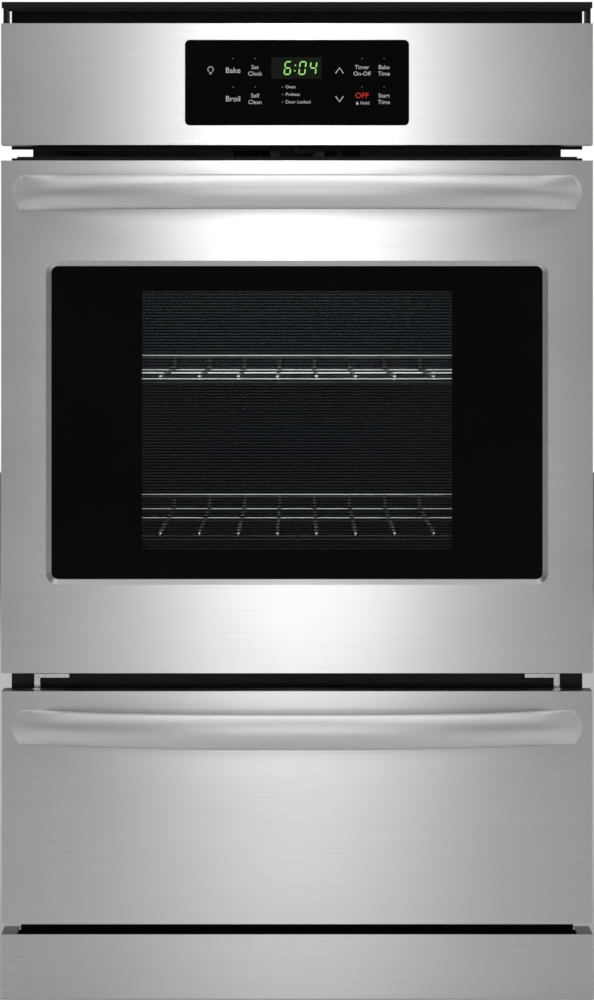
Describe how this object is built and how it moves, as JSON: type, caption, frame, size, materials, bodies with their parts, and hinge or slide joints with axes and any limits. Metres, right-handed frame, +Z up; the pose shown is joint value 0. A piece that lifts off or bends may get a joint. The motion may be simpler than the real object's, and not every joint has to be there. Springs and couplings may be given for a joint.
{
  "type": "wall oven",
  "caption": "Built-in gas wall oven with a drop-down glass door, touch control panel, wire racks and a pull-out broiler drawer.",
  "frame": {"origin": "on the underside of the base pan, in the middle of the width, in the plane of the cabinet's face (the back of the front frame)", "axes": "+X to the right seen from the front, +Y to the back, +Z up"},
  "size_m": [0.606, 0.6472, 1.0215],
  "materials": {
    "galvanised": "galvanised sheet",
    "black_steel": "satin black",
    "black_trim": "satin black",
    "stainless_kick": "horizontal brush",
    "stainless_panel": "horizontal brush",
    "stainless_door": "horizontal brush",
    "stainless_drawer": "horizontal brush",
    "handle_steel": "brushed along the bar",
    "enamel": "speckled porcelain enamel",
    "enamel_floor": "speckled porcelain enamel",
    "door_enamel": "speckled porcelain enamel",
    "pan_enamel": "speckled porcelain enamel",
    "wool": "mineral wool",
    "lamp_glass": "clear, ribbed",
    "bulb_glass": "frosted",
    "lamp_ceramic": "unglazed",
    "probe_steel": "bright",
    "aluminised": "aluminised sheet",
    "burner_steel": "aluminised, heat tinted",
    "igniter_ceramic": "unglazed",
    "valve_aluminium": "die cast",
    "regulator_cast": "die cast",
    "lever_steel": "zinc plated",
    "pipe_steel": "black iron",
    "motor_steel": "laminated steel",
    "wheel_aluminium": "pressed",
    "black_plastic": "fine texture",
    "white_plastic": "fine texture",
    "panel_glass": "black back-printed",
    "door_glass": "black printed border, screened middle",
    "clear_glass": "clear",
    "board": "circuit board",
    "zinc": "zinc plated",
    "bright_zinc": "bright zinc",
    "zinc_screw": "zinc plated",
    "spring_steel": "oiled",
    "gasket": "woven glass fibre",
    "nylon": "moulded",
    "rack_chrome": "plated wire",
    "chrome_steel": "plated, slotted"
  },
  "bodies": {
    "carcass": {"side_panel_left": "galvanised", "side_panel_right": "galvanised", "back_panel": "galvanised", "top_panel": "galvanised", "base_pan": "galvanised", "front_frame": "black_steel", "top_trim": "black_trim", "kick_panel": "stainless_kick", "oven_liner": "enamel", "oven_floor": "enamel_floor", "insulation_blanket": "wool", "lamp_lens": "lamp_glass", "lamp_socket": "lamp_ceramic", "lamp_bulb": "bulb_glass", "temperature_probe": "probe_steel", "broiler_shield": "aluminised", "oven_burner": "burner_steel", "glow_igniter": "igniter_ceramic", "gas_valve": "valve_aluminium", "gas_regulator": "regulator_cast", "gas_pipe": "pipe_steel", "flue_duct": "aluminised", "blower_housing": "galvanised", "blower_motor": "motor_steel", "latch_motor": "motor_steel", "door_switch": "black_plastic", "control_panel": "stainless_panel", "panel_glass": "panel_glass", "control_housing": "black_steel", "control_board": "board", "junction_box": "galvanised", "hinge_arms": "zinc", "door_gasket": "gasket", "slide_channels": "zinc", "corner_brackets": "bright_zinc", "chassis_screws": "zinc_screw"},
    "oven_door": {"door_skin": "stainless_door", "door_glass": "door_glass", "door_liner": "door_enamel", "inner_glass": "clear_glass", "glass_retainer": "galvanised", "door_insulation": "wool", "door_top_trim": "black_trim", "door_handle": "handle_steel", "hinge_channels": "zinc", "hinge_spring_rods": "spring_steel"},
    "broiler_drawer": {"drawer_front": "stainless_drawer", "drawer_box": "aluminised", "drawer_handle": "handle_steel", "drawer_rails": "zinc", "broiler_pan": "pan_enamel", "broiler_grid": "chrome_steel"},
    "upper_rack_body": {"upper_rack": "rack_chrome"},
    "lower_rack_body": {"lower_rack": "rack_chrome"},
    "blower_rotor": {"blower_wheel": "wheel_aluminium"},
    "latch_shaft": {"latch_hook": "lever_steel"},
    "switch_button": {"switch_plunger": "white_plastic"},
    "shutoff_handle": {"shutoff_lever": "lever_steel"},
    "channel_rollers": {"front_rollers": "nylon"},
    "drawer_rollers": {"rear_rollers": "nylon"}
  },
  "joints": [
    {"name": "door_hinge", "type": "hinge", "parent": "carcass", "child": "oven_door", "pos_m": [0, -0.024, 0.345], "axis": [1, 0, 0], "range_deg": [0, 85], "stiffness_Nm_per_rad": 12, "springref_deg": -17.19},
    {"name": "upper_rack_slide", "type": "slide", "parent": "carcass", "child": "upper_rack_body", "axis": [0, -1, 0], "range_m": [0, 0.24]},
    {"name": "lower_rack_slide", "type": "slide", "parent": "carcass", "child": "lower_rack_body", "axis": [0, -1, 0], "range_m": [0, 0.2]},
    {"name": "drawer_slide", "type": "slide", "parent": "carcass", "child": "broiler_drawer", "axis": [0, -1, 0], "range_m": [0, 0.36]},
    {"name": "channel_roller_spin", "type": "hinge", "parent": "carcass", "child": "channel_rollers", "pos_m": [0, 0.014, 0.1675], "axis": [1, 0, 0], "continuous": true},
    {"name": "drawer_roller_spin", "type": "hinge", "parent": "broiler_drawer", "child": "drawer_rollers", "pos_m": [0, 0.408, 0.1675], "axis": [1, 0, 0], "continuous": true},
    {"name": "blower_spin", "type": "hinge", "parent": "carcass", "child": "blower_rotor", "pos_m": [0, 0.19, 0.88], "axis": [0, 0, 1], "continuous": true},
    {"name": "latch_turn", "type": "hinge", "parent": "carcass", "child": "latch_shaft", "pos_m": [0, -0.02, 0.8685], "axis": [0, 1, 0], "range_deg": [0, 90]},
    {"name": "switch_travel", "type": "slide", "parent": "carcass", "child": "switch_button", "axis": [0, -1, 0], "range_m": [0, 0.005]},
    {"name": "shutoff_turn", "type": "hinge", "parent": "carcass", "child": "shutoff_handle", "pos_m": [0.2245, 0.494, 0.208], "axis": [1, 0, 0], "range_deg": [-90, 0]}
  ],
  "couplings": [
    {"joint": "upper_rack_slide", "follows": "door_hinge", "m_per_rad": 0.16177},
    {"joint": "lower_rack_slide", "follows": "door_hinge", "m_per_rad": 0.13481},
    {"joint": "switch_travel", "follows": "door_hinge", "m_per_rad": 0.00337},
    {"joint": "channel_roller_spin", "follows": "drawer_slide", "rad_per_m": 100},
    {"joint": "drawer_roller_spin", "follows": "drawer_slide", "rad_per_m": 66.667}
  ]
}
